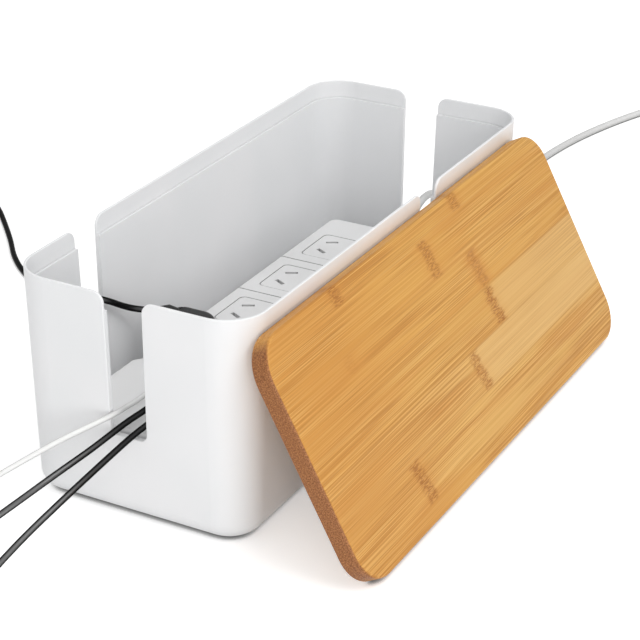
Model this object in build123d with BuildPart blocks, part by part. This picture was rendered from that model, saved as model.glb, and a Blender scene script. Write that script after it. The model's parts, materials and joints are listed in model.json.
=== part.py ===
from build123d import *
import os
from math import atan, cos, degrees, pi, radians, sin, sqrt, tan

os.makedirs("parts", exist_ok=True)

# Cable management box with a leaning lid, holding a power strip and five leads.
# Millimetres. X runs along the box from its near end to its far end, Y from its front wall
# to its back wall, +Z up. The origin is the middle of the box on the surface it stands on.

# ---------------------------------------------------------------- box shell
length = 320.0
width = 130.0
height = 120.0
corner_radius = 21.0
wall = 3.0
floor = 3.0
rim_wall = 1.5
draft = 3.2
base_round = 9.0
inner_round = 5.0
rim_round = 0.45

# ---------------------------------------------------------------- cord slots
end_slot_width = 20.0
end_slot_foot = 45.5
side_slot_width = 18.0
side_slot_foot = 73.0
back_slot_x = -95.7
front_slot_x = 31.3
slot_spread = 1.2
slot_foot_round = 4.0
slot_lip_round = 6.0
slot_margin = 2.0
slot_overrun = 5.0
cut_over = 1.0

# ---------------------------------------------------------------- shell feet
foot_stand = 1.2
foot_recess = 1.0
foot_radius = 7.0
foot_clearance = 0.2
foot_inset_x = 34.0
foot_inset_y = 26.0
foot_chamfer = 0.5

# ---------------------------------------------------------------- lid
lid_thickness = 10.0
lid_clearance = 0.5
lid_round = 1.5
lid_lean = 28.4
lid_offset = -6.0
lean_gap = 0.4

# ---------------------------------------------------------------- power strip housing
strip_top = 45.0
strip_split = 24.0
strip_near_gap = 9.0
strip_far_gap = 32.0
strip_back_gap = 20.0
strip_width = 51.0
hub_length = 68.5
hub_width = 57.0
strip_corner = 6.0
strip_wall = 2.2
strip_plate = 2.5
strip_round = 2.5
strip_base_round = 2.0
joint_groove = 0.8
joint_depth = 0.7
pad_radius = 5.0
pad_height = 2.0
pad_recess = 0.6
pad_inset_x = 14.0
pad_screw_offset = 10.0
rib_thickness = 1.6
rib_gap = 1.2

# ---------------------------------------------------------------- outlets
outlet_count = 4
blank_end = 16.1
face_length = 31.4
face_width = 33.4
face_corner = 3.5
face_clearance = 0.35
face_flange = 1.2
face_chamfer = 0.3
flange_thickness = 1.6
blade_width = 6.35
blade_thickness = 1.6
blade_length = 17.0
blade_spacing = 13.7
blade_rise = 7.9
blade_angle = 29.0
blade_chamfer = 0.4
earth_drop = 10.3
slot_clearance = 0.35

# ---------------------------------------------------------------- contact bars
bar_z = 26.0
bar_thickness = 0.8
bar_overrun = 16.0
bar_width = 4.6
bar_boss_gap = 0.8
bar_gap = 2.5
arm_width = 9.0
arm_reach = 3.5
earth_bar_width = 6.0
leaf_height = 9.0
leaf_thickness = 0.5
leaf_clearance = 0.2
leaf_overrun = 0.5

# ---------------------------------------------------------------- housing screws
boss_radius = 3.2
screw_radius = 1.45
screw_clearance = 0.15
screw_head_radius = 2.7
screw_head_height = 2.0
screw_head_sink = 0.3
screw_reach = 8.0
screw_inset = 5.2
screw_column_inset = 8.0

# ---------------------------------------------------------------- USB ports and plugs
usb_count = 3
usb_pitch = 9.0
usb_hub_gap = 15.5
usb_front_inset = 6.5
usb_shell_length = 13.1
usb_shell_width = 5.8
usb_shell_wall = 0.4
usb_shell_sink = 0.4
usb_tip_length = 12.0
usb_tip_width = 4.5
usb_tip_wall = 0.35
usb_tip_reach = 11.0
usb_tongue_length = 10.8
usb_tongue_width = 1.6
usb_tongue_height = 8.5
usb_tongue_gap = 0.1
usb_fill_width = 1.6
board_thickness = 1.6
board_top = 33.0
board_length = 46.0
board_clearance = 0.5
board_post_radius = 2.6
board_post_inset = 4.0
usb_body_length = 20.0
usb_body_width = 7.6
usb_body_height = 9.4
usb_body_round = 1.6
plug_seat_gap = 0.3
usb_relief_length = 12.0
usb_relief_radius = 3.0
relief_overlap = 0.5

# ---------------------------------------------------------------- black plug
plug_front_reach = 1.0
plug_back_reach = 26.5
plug_width = 26.0
plug_height = 15.5
plug_corner = 9.0
plug_round = 4.5
plug_rib_count = 3
plug_rib_width = 1.1
plug_rib_pitch = 2.2
plug_rib_depth = 0.9
plug_rib_inset = 1.6
plug_nose_turn = 46.0
plug_nose_rise = 12.0
plug_nose_length = 9.0
plug_nose_radius = 4.0
plug_nose_tip = 1.9
plug_nose_reach = 3.5
plug_nose_side = 3.0
plug_nose_height = 16.0
plug_cord_gap = 0.95

# ---------------------------------------------------------------- strip lead's gland
gland_inset = 8.0
gland_drop = 8.0
gland_angle = 28.0
gland_length = 20.0
gland_root = 4.5
gland_tip = 3.2
gland_clearance = 0.3
gland_sink = 3.0
gland_hole_reach = 6.0

# ---------------------------------------------------------------- cords
arc_share = 0.45
cord_a_diameter = 2.8
cord_b_diameter = 3.2
cord_c_diameter = 3.2
cord_d_diameter = 3.4
cord_e_diameter = 4.6
cord_a_length = 1000.0
cord_b_length = 1000.0
cord_c_length = 1000.0
cord_d_length = 1500.0
cord_e_length = 1800.0
cord_a_turns = 7.5
cord_b_turns = 7.25
cord_c_turns = 7.25
cord_d_turns = 9.25
cord_e_turns = 9.25
thin_coil_columns = 4
thick_coil_columns = 5
coil_layers = 2
coil_gap = 0.3
coil_tail = 12.0
usb_cord_gap = 0.3

# ---------------------------------------------------------------- plugs on the far ends
relief_lip = 0.3
end_relief_length = 9.0
end_relief_radius = 2.6
end_body_length = 22.0
end_body_width = 10.5
end_body_height = 6.6
end_body_round = 2.4
end_tip_length = 6.6
end_tip_width = 8.3
end_tip_height = 2.5
end_tip_round = 1.2
socket_body_length = 24.0
socket_body_width = 13.5
socket_body_height = 8.6
socket_body_round = 4.2
socket_bore = 1.4
socket_bore_depth = 12.0
socket_bore_spacing = 7.4
mains_relief_length = 28.0
mains_relief_radius = 4.6
mains_back_width = 16.0
mains_back_height = 15.0
mains_body_length = 30.0
mains_body_width = 31.0
mains_body_height = 26.0
mains_body_round = 6.0

# ---------------------------------------------------------------- worked out
shell_height = height - foot_stand
floor_z = foot_stand + floor
ledge_z = height - lid_thickness
draft_angle = degrees(atan(draft / shell_height))
strip_bottom = floor_z + pad_height
strip_start = strip_near_gap - length / 2
strip_end = length / 2 - strip_far_gap
strip_y = width / 2 - strip_back_gap - hub_width / 2
hub_end = strip_start + hub_length
outlet_pitch = (strip_end - hub_end - blank_end) / outlet_count
first_outlet = hub_end + outlet_pitch / 2
usb_x = hub_end - usb_hub_gap
usb_first_y = strip_y - hub_width / 2 + usb_front_inset + usb_pitch * (usb_count - 1)
outlet_places = [first_outlet + outlet_pitch * i for i in range(outlet_count)]
joint_places = [x + outlet_pitch / 2 for x in outlet_places[:-1]]
usb_places = [usb_first_y - usb_pitch * i for i in range(usb_count)]
cord_z = strip_top + plug_seat_gap + usb_body_height / 2


def inset(z):
    """How far the outside of the shell stands in from the rim's outline at height z."""
    return draft * (height - z) / shell_height


def shell_outline(z, thickness):
    """Rounded rectangle that lies the given thickness inside the shell's outside at height z."""
    depth = inset(z) + thickness
    RectangleRounded(length - 2 * depth, width - 2 * depth, corner_radius - depth)


def slot_profile(centre, foot_width, foot_z):
    """Slot open at the rim, a little wider there, with rounded foot and lips."""
    foot = foot_width / 2
    rim = foot + slot_spread / 2
    out = rim + slot_lip_round + slot_margin
    above = height + slot_overrun
    Polygon(
        (centre - foot, foot_z),
        (centre + foot, foot_z),
        (centre + rim, height),
        (centre + out, height),
        (centre + out, above),
        (centre - out, above),
        (centre - out, height),
        (centre - rim, height),
        align=None,
    )


def round_slot(sketch, foot_z):
    """Rounds a slot's foot corners and the lips where it meets the rim."""
    low = sketch.vertices().filter_by(lambda v: abs(v.Y - foot_z) < 0.01)
    middle = sum(v.X for v in low) / len(low)
    fillet(low, radius=slot_foot_round)
    lips = sketch.vertices().filter_by(lambda v: abs(v.Y - height) < 0.01)
    fillet(lips.sort_by(lambda v: abs(v.X - middle))[:2], radius=slot_lip_round)


# ================================================================ shell
near_plane = Plane(origin=(-length / 2, 0, 0), x_dir=(0, 1, 0), z_dir=(1, 0, 0))
far_plane = Plane(origin=(length / 2, 0, 0), x_dir=(0, 1, 0), z_dir=(1, 0, 0))
back_plane = Plane(origin=(0, width / 2, 0), x_dir=(1, 0, 0), z_dir=(0, -1, 0))
front_plane = Plane(origin=(0, -width / 2, 0), x_dir=(1, 0, 0), z_dir=(0, -1, 0))
foot_places = [
    (side_x * (length / 2 - foot_inset_x), side_y * (width / 2 - foot_inset_y))
    for side_x in (-1, 1)
    for side_y in (-1, 1)
]

with BuildPart() as shell:
    with BuildSketch(Plane.XY.offset(foot_stand)):
        shell_outline(foot_stand, 0)
    extrude(amount=shell_height, taper=-draft_angle)
    fillet(shell.edges().group_by(Axis.Z)[0], radius=base_round)
    with BuildSketch(Plane.XY.offset(floor_z)):
        shell_outline(floor_z, wall)
    extrude(amount=height - floor_z, taper=-draft_angle, mode=Mode.SUBTRACT)
    fillet(shell.edges().filter_by(lambda e: abs(e.center().Z - floor_z) < 0.01), radius=inner_round)
    with BuildSketch(Plane.XY.offset(ledge_z)):
        shell_outline(ledge_z, rim_wall)
    extrude(amount=lid_thickness, taper=-draft_angle, mode=Mode.SUBTRACT)
    for plane in (near_plane, far_plane):
        with BuildSketch(plane) as end_slot:
            slot_profile(0, end_slot_width, end_slot_foot)
            round_slot(end_slot, end_slot_foot)
        extrude(amount=wall + draft + cut_over, both=True, mode=Mode.SUBTRACT)
    for plane, slot_x in ((back_plane, back_slot_x), (front_plane, front_slot_x)):
        with BuildSketch(plane) as side_slot:
            slot_profile(slot_x, side_slot_width, side_slot_foot)
            round_slot(side_slot, side_slot_foot)
        extrude(amount=wall + draft + cut_over, both=True, mode=Mode.SUBTRACT)
    fillet(shell.edges().filter_by(lambda e: abs(e.center().Z - height) < 0.01), radius=rim_round)
    with BuildSketch(Plane.XY.offset(foot_stand)):
        with Locations(*foot_places):
            Circle(foot_radius + foot_clearance)
    extrude(amount=foot_recess, mode=Mode.SUBTRACT)
shell.part.label = "shell"
export_step(shell.part, "parts/shell.step")

with BuildPart() as shell_feet:
    with BuildSketch():
        with Locations(*foot_places):
            Circle(foot_radius)
    extrude(amount=foot_stand + foot_recess)
    chamfer(shell_feet.edges().group_by(Axis.Z)[0], length=foot_chamfer)
shell_feet.part.label = "shell_feet"
export_step(shell_feet.part, "parts/shell_feet.step")

# ================================================================ lid
# The board fits the rebate inside the rim. At rest it leans: its lower inner edge is on the
# table and its upper inner edge is just off the front wall.
lid_length = length - 2 * (rim_wall + lid_clearance)
lid_width = width - 2 * (rim_wall + lid_clearance)
lid_corner = corner_radius - rim_wall - lid_clearance
lean = radians(lid_lean)
lid_top_z = lid_width * cos(lean)
lid_foot_z = -lid_round * (cos(lean) + sin(lean) - 1)
wall_y = -(width / 2 - inset(lid_top_z))
lid_foot_y = wall_y - lean_gap - (lid_width - lid_round) * sin(lean) - lid_round * (1 - cos(lean))
lid_plane = Plane(
    origin=(lid_offset, lid_foot_y, lid_foot_z),
    x_dir=(1, 0, 0),
    z_dir=(0, -cos(lean), sin(lean)),
)

with BuildPart() as lid:
    with BuildSketch(lid_plane):
        with Locations((0, lid_width / 2)):
            RectangleRounded(lid_length, lid_width, lid_corner)
    extrude(amount=lid_thickness)
    face_edges = lid.edges().filter_by(lambda e: abs(e.tangent_at(0.5).dot(lid_plane.z_dir)) < 0.01)
    fillet(face_edges, radius=lid_round)
lid.part.label = "lid"
export_step(lid.part, "parts/lid.step")


# ================================================================ power strip
def strip_outline(depth):
    """Outline of the strip with its wider end, the given depth inside its outside."""
    long_run = strip_end - strip_start
    hub_run = hub_end - strip_start
    radius = strip_corner - depth
    with Locations(((strip_start + strip_end) / 2, strip_y)):
        RectangleRounded(long_run - 2 * depth, strip_width - 2 * depth, radius)
    with Locations(((strip_start + hub_end) / 2, strip_y)):
        RectangleRounded(hub_run - 2 * depth, hub_width - 2 * depth, radius)


screw_half = strip_width / 2 - screw_inset
screw_columns = (
    strip_start + screw_column_inset,
    joint_places[0],
    joint_places[-1],
    strip_end - screw_column_inset,
)
screw_places = [(x, strip_y + side * screw_half) for x in screw_columns for side in (-1, 1)]
pad_half = screw_half - pad_screw_offset
pad_places = [
    (x, strip_y + side * pad_half)
    for x in (strip_start + pad_inset_x, strip_end - pad_inset_x)
    for side in (-1, 1)
]
board_width = hub_width - 2 * (strip_wall + board_clearance)
board_x = hub_end - strip_wall - board_clearance - board_length / 2
board_places = [
    (
        board_x + side_x * (board_length / 2 - board_post_inset),
        strip_y + side_y * (board_width / 2 - board_post_inset),
    )
    for side_x in (-1, 1)
    for side_y in (-1, 1)
]
rib_places = [joint_places[0] - outlet_pitch] + joint_places + [joint_places[-1] + outlet_pitch]
rib_width = 2 * (screw_half - boss_radius - rib_gap)
inner_floor = strip_bottom + strip_wall
gland_axis = Plane(
    origin=(strip_end, strip_y - strip_width / 2 + gland_inset, strip_top - gland_drop),
    x_dir=(0, 1, 0),
    z_dir=(cos(radians(gland_angle)), 0, sin(radians(gland_angle))),
)

with BuildPart() as strip_base:
    with BuildSketch(Plane.XY.offset(strip_bottom)):
        strip_outline(0)
    extrude(amount=strip_split - strip_bottom)
    fillet(strip_base.edges().group_by(Axis.Z)[0], radius=strip_base_round)
    with BuildSketch(Plane.XY.offset(inner_floor)):
        strip_outline(strip_wall)
    extrude(amount=strip_split - inner_floor, mode=Mode.SUBTRACT)
    with BuildSketch(Plane.XY.offset(inner_floor)):
        with Locations(*screw_places):
            Circle(boss_radius)
    extrude(amount=strip_split - inner_floor)
    with BuildSketch(Plane.XY.offset(inner_floor)):
        with Locations(*board_places):
            Circle(board_post_radius)
    extrude(amount=board_top - board_thickness - inner_floor)
    with BuildSketch(Plane.XY.offset(inner_floor)):
        with Locations(*[(x, strip_y) for x in rib_places]):
            Rectangle(rib_thickness, rib_width)
    extrude(amount=bar_z - inner_floor)
    with BuildSketch(Plane.XY.offset(strip_bottom)):
        with Locations(*screw_places):
            Circle(screw_radius + screw_clearance)
    extrude(amount=strip_split - strip_bottom, mode=Mode.SUBTRACT)
    with BuildSketch(Plane.XY.offset(strip_bottom)):
        with Locations(*screw_places):
            Circle(screw_head_radius + screw_clearance)
    extrude(amount=screw_head_height, mode=Mode.SUBTRACT)
    with BuildSketch(Plane.XY.offset(strip_bottom)):
        with Locations(*pad_places):
            Circle(pad_radius + foot_clearance)
    extrude(amount=pad_recess, mode=Mode.SUBTRACT)
strip_base.part.label = "strip_base"
export_step(strip_base.part, "parts/strip_base.step")

cover_inside = strip_top - strip_plate

with BuildPart() as strip_cover:
    with BuildSketch(Plane.XY.offset(strip_split)):
        strip_outline(0)
    extrude(amount=strip_top - strip_split)
    fillet(strip_cover.edges().group_by(Axis.Z)[-1], radius=strip_round)
    with BuildSketch(Plane.XY.offset(strip_split)):
        strip_outline(strip_wall)
    extrude(amount=cover_inside - strip_split, mode=Mode.SUBTRACT)
    with BuildSketch(Plane.XY.offset(strip_split)):
        with Locations(*screw_places):
            Circle(boss_radius)
    extrude(amount=cover_inside - strip_split)
    with BuildSketch(Plane.XY.offset(strip_split)):
        with Locations(*screw_places):
            Circle(screw_radius + screw_clearance)
    extrude(amount=screw_reach + cut_over, mode=Mode.SUBTRACT)
    with BuildSketch(Plane.XY.offset(cover_inside)):
        with Locations(*[(x, strip_y) for x in outlet_places]):
            RectangleRounded(face_length + 2 * face_clearance, face_width + 2 * face_clearance, face_corner)
        with Locations(*[(usb_x, y) for y in usb_places]):
            Rectangle(usb_shell_length + 2 * face_clearance, usb_shell_width + 2 * face_clearance)
    extrude(amount=strip_plate, mode=Mode.SUBTRACT)
    with BuildSketch(Plane.XY.offset(strip_top - joint_depth)):
        with Locations(*[(x, strip_y) for x in joint_places]):
            Rectangle(joint_groove, strip_width + 2 * cut_over)
        with Locations((hub_end + joint_groove / 2, strip_y)):
            Rectangle(joint_groove, hub_width + 2 * cut_over)
    extrude(amount=joint_depth, mode=Mode.SUBTRACT)
    with BuildSketch(gland_axis.offset(-gland_hole_reach)):
        Circle(gland_root + gland_clearance)
    extrude(amount=2 * gland_hole_reach, mode=Mode.SUBTRACT)
strip_cover.part.label = "strip_cover"
export_step(strip_cover.part, "parts/strip_cover.step")

with BuildPart() as strip_feet:
    with BuildSketch(Plane.XY.offset(floor_z)):
        with Locations(*pad_places):
            Circle(pad_radius)
    extrude(amount=pad_height + pad_recess)
strip_feet.part.label = "strip_feet"
export_step(strip_feet.part, "parts/strip_feet.step")

with BuildPart() as strip_screws:
    with BuildSketch(Plane.XY.offset(strip_bottom + screw_head_sink)):
        with Locations(*screw_places):
            Circle(screw_head_radius)
    extrude(amount=screw_head_height - screw_head_sink)
    with BuildSketch(Plane.XY.offset(strip_bottom + screw_head_height)):
        with Locations(*screw_places):
            Circle(screw_radius)
    extrude(amount=strip_split - strip_bottom - screw_head_height + screw_reach)
strip_screws.part.label = "strip_screws"
export_step(strip_screws.part, "parts/strip_screws.step")


# ================================================================ outlets
def blade_spots(x, y):
    """Places of an outlet's two slanted blades, as centre x, centre y and turn."""
    return [
        (x - blade_spacing / 2, y + blade_rise, -blade_angle),
        (x + blade_spacing / 2, y + blade_rise, blade_angle),
    ]


def blade_slots(x, y, clearance):
    """Slots for one outlet's blades and its earth pin."""
    for slot_x, slot_y, turn in blade_spots(x, y):
        with Locations((slot_x, slot_y)):
            Rectangle(blade_thickness + 2 * clearance, blade_width + 2 * clearance, rotation=turn)
    with Locations((x, y - earth_drop)):
        Rectangle(blade_thickness + 2 * clearance, blade_width + 2 * clearance)


for number, outlet_x in enumerate(outlet_places, 1):
    with BuildPart() as outlet_face:
        with BuildSketch(Plane.XY.offset(cover_inside - flange_thickness)):
            with Locations((outlet_x, strip_y)):
                RectangleRounded(face_length + 2 * face_flange, face_width + 2 * face_flange, face_corner)
        extrude(amount=flange_thickness)
        with BuildSketch(Plane.XY.offset(cover_inside)):
            with Locations((outlet_x, strip_y)):
                RectangleRounded(face_length, face_width, face_corner)
        extrude(amount=strip_plate)
        chamfer(outlet_face.edges().group_by(Axis.Z)[-1], length=face_chamfer)
        with BuildSketch(Plane.XY.offset(cover_inside - flange_thickness)):
            blade_slots(outlet_x, strip_y, slot_clearance)
        extrude(amount=flange_thickness + strip_plate, mode=Mode.SUBTRACT)
    outlet_face.part.label = f"outlet_face_{number}"
    export_step(outlet_face.part, f"parts/outlet_face_{number}.step")


# ================================================================ contact bars
def leaf_pair(x, y, turn):
    """Two upright leaves that grip one blade."""
    apart = blade_thickness / 2 + leaf_clearance + leaf_thickness / 2
    with Locations(Location((x, y), turn)):
        with Locations((-apart, 0), (apart, 0)):
            Rectangle(leaf_thickness, blade_width + 2 * leaf_overrun)


bar_start = outlet_places[0] - bar_overrun
bar_end = outlet_places[-1] + bar_overrun
bar_middle = (bar_start + bar_end) / 2
leaf_foot = bar_z + bar_thickness
active_bar_y = screw_half - boss_radius - bar_boss_gap - bar_width / 2
neutral_bar_y = earth_bar_width / 2 - earth_drop + bar_gap + bar_width / 2

with BuildPart() as bus_bar_active:
    with BuildSketch(Plane.XY.offset(bar_z)):
        with Locations((bar_middle, strip_y + active_bar_y)):
            Rectangle(bar_end - bar_start, bar_width)
        for outlet_x in outlet_places:
            arm_y = strip_y + (active_bar_y + blade_rise - arm_reach) / 2
            with Locations((outlet_x - blade_spacing / 2, arm_y)):
                Rectangle(arm_width, active_bar_y - blade_rise + arm_reach)
    extrude(amount=bar_thickness)
    with BuildSketch(Plane.XY.offset(leaf_foot)):
        for outlet_x in outlet_places:
            leaf_pair(*blade_spots(outlet_x, strip_y)[0])
    extrude(amount=leaf_height)
bus_bar_active.part.label = "bus_bar_active"
export_step(bus_bar_active.part, "parts/bus_bar_active.step")

with BuildPart() as bus_bar_neutral:
    with BuildSketch(Plane.XY.offset(bar_z)):
        with Locations((bar_middle, strip_y + neutral_bar_y)):
            Rectangle(bar_end - bar_start, bar_width)
        for outlet_x in outlet_places:
            arm_y = strip_y + (neutral_bar_y + blade_rise + arm_reach) / 2
            with Locations((outlet_x + blade_spacing / 2, arm_y)):
                Rectangle(arm_width, blade_rise - neutral_bar_y + arm_reach)
    extrude(amount=bar_thickness)
    with BuildSketch(Plane.XY.offset(leaf_foot)):
        for outlet_x in outlet_places:
            leaf_pair(*blade_spots(outlet_x, strip_y)[1])
    extrude(amount=leaf_height)
bus_bar_neutral.part.label = "bus_bar_neutral"
export_step(bus_bar_neutral.part, "parts/bus_bar_neutral.step")

with BuildPart() as bus_bar_earth:
    with BuildSketch(Plane.XY.offset(bar_z)):
        with Locations((bar_middle, strip_y - earth_drop)):
            Rectangle(bar_end - bar_start, earth_bar_width)
    extrude(amount=bar_thickness)
    with BuildSketch(Plane.XY.offset(leaf_foot)):
        for outlet_x in outlet_places:
            leaf_pair(outlet_x, strip_y - earth_drop, 0)
    extrude(amount=leaf_height)
bus_bar_earth.part.label = "bus_bar_earth"
export_step(bus_bar_earth.part, "parts/bus_bar_earth.step")

# ================================================================ USB ports
with BuildPart() as usb_board:
    with BuildSketch(Plane.XY.offset(board_top - board_thickness)):
        with Locations((board_x, strip_y)):
            RectangleRounded(board_length, board_width, strip_corner - strip_wall - board_clearance)
    extrude(amount=board_thickness)
usb_board.part.label = "usb_board"
export_step(usb_board.part, "parts/usb_board.step")

usb_spots = [(usb_x, y) for y in usb_places]

with BuildPart() as usb_shells:
    with BuildSketch(Plane.XY.offset(board_top)):
        with Locations(*usb_spots):
            Rectangle(usb_shell_length, usb_shell_width)
            Rectangle(
                usb_shell_length - 2 * usb_shell_wall,
                usb_shell_width - 2 * usb_shell_wall,
                mode=Mode.SUBTRACT,
            )
    extrude(amount=strip_top - usb_shell_sink - board_top)
usb_shells.part.label = "usb_shells"
export_step(usb_shells.part, "parts/usb_shells.step")

with BuildPart() as usb_tongues:
    with BuildSketch(Plane.XY.offset(board_top)):
        with Locations(*[(usb_x, y - usb_tongue_width / 2 - usb_tongue_gap) for y in usb_places]):
            Rectangle(usb_tongue_length, usb_tongue_width)
    extrude(amount=usb_tongue_height)
usb_tongues.part.label = "usb_tongues"
export_step(usb_tongues.part, "parts/usb_tongues.step")

# ================================================================ USB plugs
usb_seat = strip_top + plug_seat_gap
usb_tail_x = usb_x - usb_body_length / 2
usb_exit_x = usb_tail_x - usb_relief_length
usb_cords = {"a": cord_a_diameter, "b": cord_b_diameter, "c": cord_c_diameter}

for (letter, cord_diameter), plug_y in zip(usb_cords.items(), usb_places):
    with BuildPart() as usb_plug_body:
        with BuildSketch(Plane.XY.offset(usb_seat)):
            with Locations((usb_x, plug_y)):
                Rectangle(usb_body_length, usb_body_width)
        extrude(amount=usb_body_height)
        fillet(usb_plug_body.edges(), radius=usb_body_round)
        with BuildSketch(Plane(origin=(usb_tail_x + relief_overlap, plug_y, cord_z), z_dir=(-1, 0, 0))):
            Circle(usb_relief_radius)
        with BuildSketch(Plane(origin=(usb_exit_x, plug_y, cord_z), z_dir=(-1, 0, 0))):
            Circle(cord_diameter / 2 + relief_lip)
        loft()
    usb_plug_body.part.label = f"usb_plug_{letter}_body"
    export_step(usb_plug_body.part, f"parts/usb_plug_{letter}_body.step")

    with BuildPart() as usb_plug_tip:
        with BuildSketch(Plane.XY.offset(usb_seat - usb_tip_reach)):
            with Locations((usb_x, plug_y)):
                Rectangle(usb_tip_length, usb_tip_width)
                Rectangle(
                    usb_tip_length - 2 * usb_tip_wall,
                    usb_tip_width - 2 * usb_tip_wall,
                    mode=Mode.SUBTRACT,
                )
            with Locations((usb_x, plug_y + usb_tip_width / 2 - usb_tip_wall - usb_fill_width / 2)):
                Rectangle(usb_tip_length - 2 * usb_tip_wall, usb_fill_width)
        extrude(amount=usb_tip_reach)
    usb_plug_tip.part.label = f"usb_plug_{letter}_tip"
    export_step(usb_plug_tip.part, f"parts/usb_plug_{letter}_tip.step")

# ================================================================ black plug
plug_x = outlet_places[0]
plug_seat = strip_top + plug_seat_gap
plug_front = strip_y - plug_front_reach
plug_back = strip_y + plug_back_reach
plug_middle_y = (plug_front + plug_back) / 2
nose_turn = radians(plug_nose_turn)
nose_rise = radians(plug_nose_rise)
nose_tip = Plane(
    origin=(plug_x - plug_nose_side, plug_back + plug_nose_reach, plug_seat + plug_nose_height),
    z_dir=(-sin(nose_turn) * cos(nose_rise), cos(nose_turn) * cos(nose_rise), sin(nose_rise)),
)

with BuildPart() as plug_body:
    with BuildSketch(Plane.XY.offset(plug_seat)):
        with Locations((plug_x, plug_middle_y)):
            RectangleRounded(plug_width, plug_back - plug_front, plug_corner)
    extrude(amount=plug_height)
    fillet(plug_body.edges().group_by(Axis.Z)[-1], radius=plug_round)
    with BuildSketch(Plane.XY.offset(plug_seat + plug_height - plug_rib_depth)):
        for rib in range(plug_rib_count):
            with Locations((plug_x, plug_back - plug_rib_inset - rib * plug_rib_pitch)):
                Rectangle(plug_width, plug_rib_width)
    extrude(amount=plug_rib_depth + cut_over, mode=Mode.SUBTRACT)
    with BuildSketch(nose_tip.offset(-plug_nose_length)):
        Circle(plug_nose_radius)
    with BuildSketch(nose_tip):
        Circle(plug_nose_tip)
    loft()
plug_body.part.label = "plug_body"
export_step(plug_body.part, "parts/plug_body.step")

with BuildPart() as plug_pins:
    with BuildSketch(Plane.XY.offset(plug_seat - blade_length)):
        for pin_x, pin_y, turn in blade_spots(plug_x, strip_y):
            with Locations((pin_x, pin_y)):
                Rectangle(blade_thickness, blade_width, rotation=turn)
    extrude(amount=blade_length)
    chamfer(plug_pins.edges().group_by(Axis.Z)[0], length=blade_chamfer)
plug_pins.part.label = "plug_pins"
export_step(plug_pins.part, "parts/plug_pins.step")

# ================================================================ gland of the strip's lead
with BuildPart() as lead_gland:
    with BuildSketch(gland_axis.offset(-strip_wall - gland_sink)):
        Circle(gland_root)
    with BuildSketch(gland_axis.offset(gland_length)):
        Circle(gland_tip)
    loft()
lead_gland.part.label = "lead_gland"
export_step(lead_gland.part, "parts/lead_gland.step")


# ================================================================ cords
# Each route starts at its plug or gland. Its other points are chosen by hand, and its last
# point is where the cord runs into the outer turn of its coil.
def bend_radii(points):
    """Largest arc that each corner's two runs allow."""
    places = [Vector(*point) for point in points]
    radii = []
    for before, corner, after in zip(places, places[1:], places[2:]):
        turn = radians((corner - before).get_angle(after - corner))
        shorter = min((corner - before).length, (after - corner).length)
        radii.append(arc_share * shorter / tan(turn / 2))
    return radii


def usb_cord_start(place):
    """Where the cord of a USB plug starts, just off the plug's strain relief."""
    return (usb_exit_x - usb_cord_gap, usb_places[place], cord_z)


route_a = [
    usb_cord_start(0),
    (-130, 12.5, 50),
    (-144, 10.6, 52.8),
    (-158.5, 7.6, 56.6),
    (-170, 12, 55.4),
    (-184, 22, 50.8),
    (-199, 38.1, 40),
    (-214, 56, 27),
    (-228, 72.5, 14),
    (-245, 86, 4),
    (-263, 96.5, 1.4),
]
route_b = [
    usb_cord_start(1),
    (-135, 3.5, 50),
    (-151, 5, 50),
    (-165, 5.6, 49.4),
    (-180, 7.4, 47.6),
    (-200, 12, 44.3),
    (-221, 21.2, 36.2),
    (-243, 35.2, 24),
    (-262, 46, 12),
    (-283, 54, 4),
    (-304, 58.5, 1.6),
]
route_c = [
    usb_cord_start(2),
    (-138, -5.5, 50),
    (-156, -3.4, 48.9),
    (-182.4, -3.4, 47),
    (-214, -1.8, 42.4),
    (-242, 4.8, 31.8),
    (-267, 12, 17.3),
    (-288, 16.4, 6),
    (-308, 18, 1.6),
]
route_d = [
    tuple(nose_tip.offset(plug_cord_gap).origin),
    (-68.8, 53.2, 63.7),
    (-78, 56, 69),
    (-87.9, 56.4, 75.5),
    (-95.9, 61.8, 79.9),
    (-101.1, 71, 81.2),
    (-102.6, 81.1, 78.2),
    (-100.1, 91.1, 69.6),
    (-93, 98, 53.4),
    (-83, 104, 34),
    (-68, 109, 17),
    (-45, 115, 6),
    (-15, 129, 1.7),
    (14, 154, 1.7),
    (33, 184, 1.7),
    (48, 212, 1.7),
    (66, 233, 1.7),
    (84, 248, 1.7),
    (105, 268, 1.7),
    (126, 289, 1.7),
    (139, 308, 1.7),
]
route_e = [
    tuple(gland_axis.offset(gland_length).origin),
    (157.6, -1, 52.74),
    (172.5, -0.6, 53.2),
    (189.5, 0.5, 46.4),
    (206, 2, 33),
    (222, 4, 18),
    (242, 6, 6),
    (268, 8.2, 2.3),
    (305, 10.2, 2.3),
    (345, 10.8, 2.3),
    (388, 9.6, 2.3),
    (428, 4.4, 2.3),
    (467, -5, 2.3),
    (505, -17.5, 2.3),
    (539, -34, 2.3),
]

# letter: diameter, whole length, turns in the coil, turns side by side in each of its layers,
# way it is wound (1 left, -1 right), route
cords = {
    "a": (cord_a_diameter, cord_a_length, cord_a_turns, thin_coil_columns, -1, route_a),
    "b": (cord_b_diameter, cord_b_length, cord_b_turns, thin_coil_columns, -1, route_b),
    "c": (cord_c_diameter, cord_c_length, cord_c_turns, thin_coil_columns, 1, route_c),
    "d": (cord_d_diameter, cord_d_length, cord_d_turns, thick_coil_columns, 1, route_d),
    "e": (cord_e_diameter, cord_e_length, cord_e_turns, thick_coil_columns, -1, route_e),
}
end_heights = {
    "a": end_body_height,
    "b": end_body_height,
    "c": end_body_height,
    "d": socket_body_height,
    "e": mains_body_height,
}
relief_lengths = {
    "a": end_relief_length,
    "b": end_relief_length,
    "c": end_relief_length,
    "d": end_relief_length,
    "e": mains_relief_length,
}
relief_starts = {}
relief_ends = {}

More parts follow.
